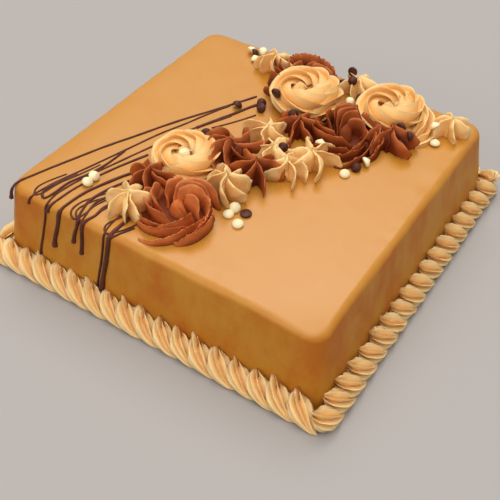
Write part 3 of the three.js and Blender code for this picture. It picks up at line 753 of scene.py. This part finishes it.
def add_shell(skin, seed, along, foot):
    """One shell on the right wall: a ribbed fan with pointed tips at the wall, drawn down and out to a thin tail."""
    rng = random.Random(seed)
    ribs = 10
    start = rng.uniform(0, 1)
    big = 1 + rng.uniform(-0.07, 0.07)
    swerve = rng.uniform(-0.8, 0.8)
    hub = Vector((foot, along + swerve, 0))
    peaks = [rng.uniform(0.5, 1.2) for _ in range(ribs)]

    def place(turn, share):
        middle = follow(SHELL_PATH, share)
        forward = (follow(SHELL_PATH, min(share + 0.03, 1)) - follow(SHELL_PATH, max(share - 0.03, 0))).normalized()
        level = forward.cross(UP).normalized()
        upright = level.cross(forward)
        depth = 0.72 * smooth(1.05, 0.5, share)
        side, round_ = rib(turn, ribs, depth, 0.7, 0.6, 1.9)
        angle = FULL * (round_ + start) - 0.8 * share
        girth = follow(SHELL_GIRTH, share).x * big * side
        point = hub + middle + level * math.cos(angle) * girth + upright * math.sin(angle) * girth
        sharp = max(0, 1 - (1 - side) / max(depth, 0.01) * 1.6)
        raised = peaks[int(turn * ribs) % ribs] * sharp * smooth(0.42, 0.06, share) ** 1.5 * smooth(0, 0.05, share) * max(0, math.sin(angle) + 0.6)
        point += Vector((-0.6, -2.4, 4.4)) * raised
        point += Vector((waver(point, 6, seed), waver(point, 6, seed + 5), waver(point, 6, seed + 9))) * 0.4
        point.z = max(point.z, 0.05)
        return point

    def crest(turn, share):
        side, _ = rib(turn, ribs, 1, 0.62, 0.6, 1.8)
        return side

    wrap(skin, ribs * 10, 28, place, crest)


class CAKE_OT_border(Operator):
    """Pipe the shell border along the foot of each wall"""
    bl_idname = "cake.border"
    bl_label = "Shell border"

    def execute(self, context):
        size = sizes()
        foot = (size.half_side + size.flare) / MM
        count = size.shell_count
        for turn, side in enumerate(("right", "back", "left", "front")):
            skin = bmesh.new()
            for shell in range(count):
                along = -foot - 3 + (2 * foot - 10) * shell / (count - 1)
                add_shell(skin, turn * 100 + shell, along, foot)
            bmesh.ops.rotate(skin, matrix=Matrix.Rotation(turn * FULL / 4, 3, "Z"), verts=skin.verts)
            set_down(skin, "shells_" + side, "border_cream", "caramel_cream", ["border_" + side])
        return {"FINISHED"}


def ground(names):
    """What lies under the chips: one search tree for each named piece, in millimetres."""
    trees = []
    for name in names:
        skin = bmesh.new()
        skin.from_mesh(bpy.data.objects[name].data)
        bmesh.ops.scale(skin, vec=(1 / MM, 1 / MM, 1 / MM), verts=skin.verts)
        trees.append(BVHTree.FromBMesh(skin))
        skin.free()
    return trees


def rest_place(trees, x, y, radius):
    """The height at which a chip comes to rest over that place, and the way the surface there faces."""
    found = []
    facing = Vector((0, 0, 0))
    for across, along in ((0, 0), (0.6, 0), (-0.6, 0), (0, 0.6), (0, -0.6)):
        above = Vector((x + across * radius, y + along * radius, 120))
        hits = [hit for hit in (tree.ray_cast(above, -UP) for tree in trees) if hit[0]]
        top = max(hits, key=lambda hit: hit[0].z)
        found.append(top[0].z)
        facing += top[1]
    return 0.5 * (sum(found) / len(found) + max(found)), (facing.normalized() * 0.6 + UP).normalized()


def add_chips(skin, places, trees, seed):
    """Chocolate chips: one profile spun round its tip, set down again and again at its own tilt."""
    size = sizes()
    radius, height = size.chip_radius / MM, size.chip_height / MM
    rng = random.Random(seed)
    profile = [(0, 0), (0.84, 0), (0.97, 0.06), (1.0, 0.2), (0.95, 0.38), (0.78, 0.58), (0.52, 0.75), (0.28, 0.87), (0.12, 0.96), (0, 1.0)]
    chip = bmesh.new()
    line = [chip.verts.new((radius * out, 0, height * (up - 0.4))) for out, up in profile]
    edges = [chip.edges.new(pair) for pair in zip(line, line[1:])]
    bmesh.ops.spin(chip, geom=line + edges, cent=(0, 0, 0), axis=UP, angle=FULL, steps=18, use_merge=True)
    bmesh.ops.remove_doubles(chip, verts=chip.verts, dist=WELD)
    shape = bpy.data.meshes.new("chip")
    chip.to_mesh(shape)
    chip.free()
    for x, y, tilt, turn in places:
        known = set(skin.verts)
        skin.from_mesh(shape)
        level, facing = rest_place(trees, x, y, radius)
        tipped = math.radians(tilt)
        lift = 0.4 * height * abs(math.cos(tipped)) + 0.75 * radius * abs(math.sin(tipped)) - (0.4 * height if tilt > 150 else 0)
        settled = facing.to_track_quat("Z", "Y").to_matrix().to_4x4()
        turned = Matrix.Rotation(math.radians(turn), 4, "Z") @ Matrix.Rotation(tipped, 4, "X")
        spot = Matrix.Translation(Vector((x, y, level)) + facing * lift) @ settled @ turned @ Matrix.Scale(rng.uniform(0.92, 1.06), 4)
        bmesh.ops.transform(skin, matrix=spot, verts=[v for v in skin.verts if v not in known])
    bpy.data.meshes.remove(shape)


class CAKE_OT_chips(Operator):
    """Scatter the white and the dark chips over the top"""
    bl_idname = "cake.chips"
    bl_label = "Chips"

    def execute(self, context):
        piped = ["piped_" + row[0] for row in ROSETTES + SWIRLS + STARS]
        trees = ground(["icing", "drizzle"] + piped)
        for name, finish, places in (("white_chips", "white_chocolate", WHITE_CHIPS), ("dark_chips", "dark_chocolate", DARK_CHIPS)):
            skin = bmesh.new()
            add_chips(skin, places, trees, len(name))
            set_down(skin, name, finish, finish, [])
        return {"FINISHED"}


# ---------------------------------------------------------------- stage

def add_light(name, place, target, side, power, colour):
    lamp = bpy.data.lights.new(name, "AREA")
    lamp.shape = "SQUARE"
    lamp.size = side
    lamp.energy = power
    lamp.color = colour
    holder = bpy.data.objects.new(name, lamp)
    holder.location = place
    holder.rotation_euler = (Vector(target) - Vector(place)).to_track_quat("-Z", "Y").to_euler()
    bpy.context.scene.collection.objects.link(holder)


class CAKE_OT_stage(Operator):
    """Set the pale floor, the soft lights and the camera"""
    bl_idname = "cake.stage"
    bl_label = "Stage"

    def execute(self, context):
        scene = context.scene
        scene.view_settings.view_transform = "Standard"
        floor = bmesh.new()
        bmesh.ops.create_grid(floor, x_segments=2, y_segments=2, size=6)
        mesh = bpy.data.meshes.new("floor")
        floor.to_mesh(mesh)
        floor.free()
        pale = bpy.data.materials.new("pale_floor")
        pale.use_nodes = True
        shader = pale.node_tree.nodes["Principled BSDF"]
        shader.inputs["Base Color"].default_value = (0.365, 0.345, 0.33, 1)
        shader.inputs["Roughness"].default_value = 0.8
        mesh.materials.append(pale)
        ground = bpy.data.objects.new("floor", mesh)
        scene.collection.objects.link(ground)

        world = bpy.data.worlds.new("soft_room")
        world.use_nodes = True
        world.node_tree.nodes["Background"].inputs["Color"].default_value = (1.0, 0.98, 0.96, 1)
        world.node_tree.nodes["Background"].inputs["Strength"].default_value = 0.42
        scene.world = world
        add_light("overhead", (0.5, -0.4, 3.2), (0, 0, 0), 3.0, 72, (1.0, 0.97, 0.94))
        add_light("front_fill", (-1.0, -3.0, 2.0), (0, 0, 0), 2.2, 34, (1.0, 0.95, 0.9))
        add_light("back_window", (-1.35, 2.5, 4.3), (0, 0, 0), 2.8, 116, (1.0, 0.98, 0.96))

        turn, tip, roll = 0.564452, 0.780843, 0.017596
        back = Vector((math.sin(turn) * math.cos(tip), -math.cos(turn) * math.cos(tip), math.sin(tip)))
        right = (-back).cross(UP).normalized()
        above = right.cross(-back).normalized()
        level = right * math.cos(roll) + above * math.sin(roll)
        upright = above * math.cos(roll) - right * math.sin(roll)
        lens = bpy.data.cameras.new("camera")
        lens.sensor_width = 36
        lens.lens = 60.551
        lens.clip_start = 0.01
        eye = bpy.data.objects.new("camera", lens)
        eye.matrix_world = Matrix((level, upright, back)).transposed().to_4x4()
        eye.location = (0.23974, -0.38487, 0.41761)
        scene.collection.objects.link(eye)
        scene.camera = eye
        return {"FINISHED"}


class CAKE_PT_parts(Panel):
    """Lists what the cake is made of"""
    bl_idname = "CAKE_PT_parts"
    bl_label = "Fudge cake"
    bl_space_type = "VIEW_3D"
    bl_region_type = "UI"
    bl_category = "Cake"

    def draw(self, context):
        layout = self.layout
        for maker in MAKERS:
            layout.operator(maker.bl_idname)
        for group in (context.scene.cake_sizes, context.scene.cake_colours):
            box = layout.box()
            for name in group.__annotations__:
                box.prop(group, name)


MAKERS = (CAKE_OT_icing, CAKE_OT_drizzle, CAKE_OT_border, CAKE_OT_rosettes, CAKE_OT_stars, CAKE_OT_chips, CAKE_OT_stage)
CLASSES = (CakeSizes, CakeColours) + MAKERS + (CAKE_PT_parts,)


def register():
    for made in CLASSES:
        bpy.utils.register_class(made)
    bpy.types.Scene.cake_sizes = PointerProperty(type=CakeSizes)
    bpy.types.Scene.cake_colours = PointerProperty(type=CakeColours)


def unregister():
    del bpy.types.Scene.cake_sizes
    del bpy.types.Scene.cake_colours
    for made in reversed(CLASSES):
        bpy.utils.unregister_class(made)


def main():
    register()
    bpy.ops.cake.icing()
    bpy.ops.cake.drizzle()
    bpy.ops.cake.border()
    bpy.ops.cake.rosettes()
    bpy.ops.cake.stars()
    bpy.ops.cake.chips()
    bpy.ops.cake.stage()


if __name__ == "__main__":
    main()
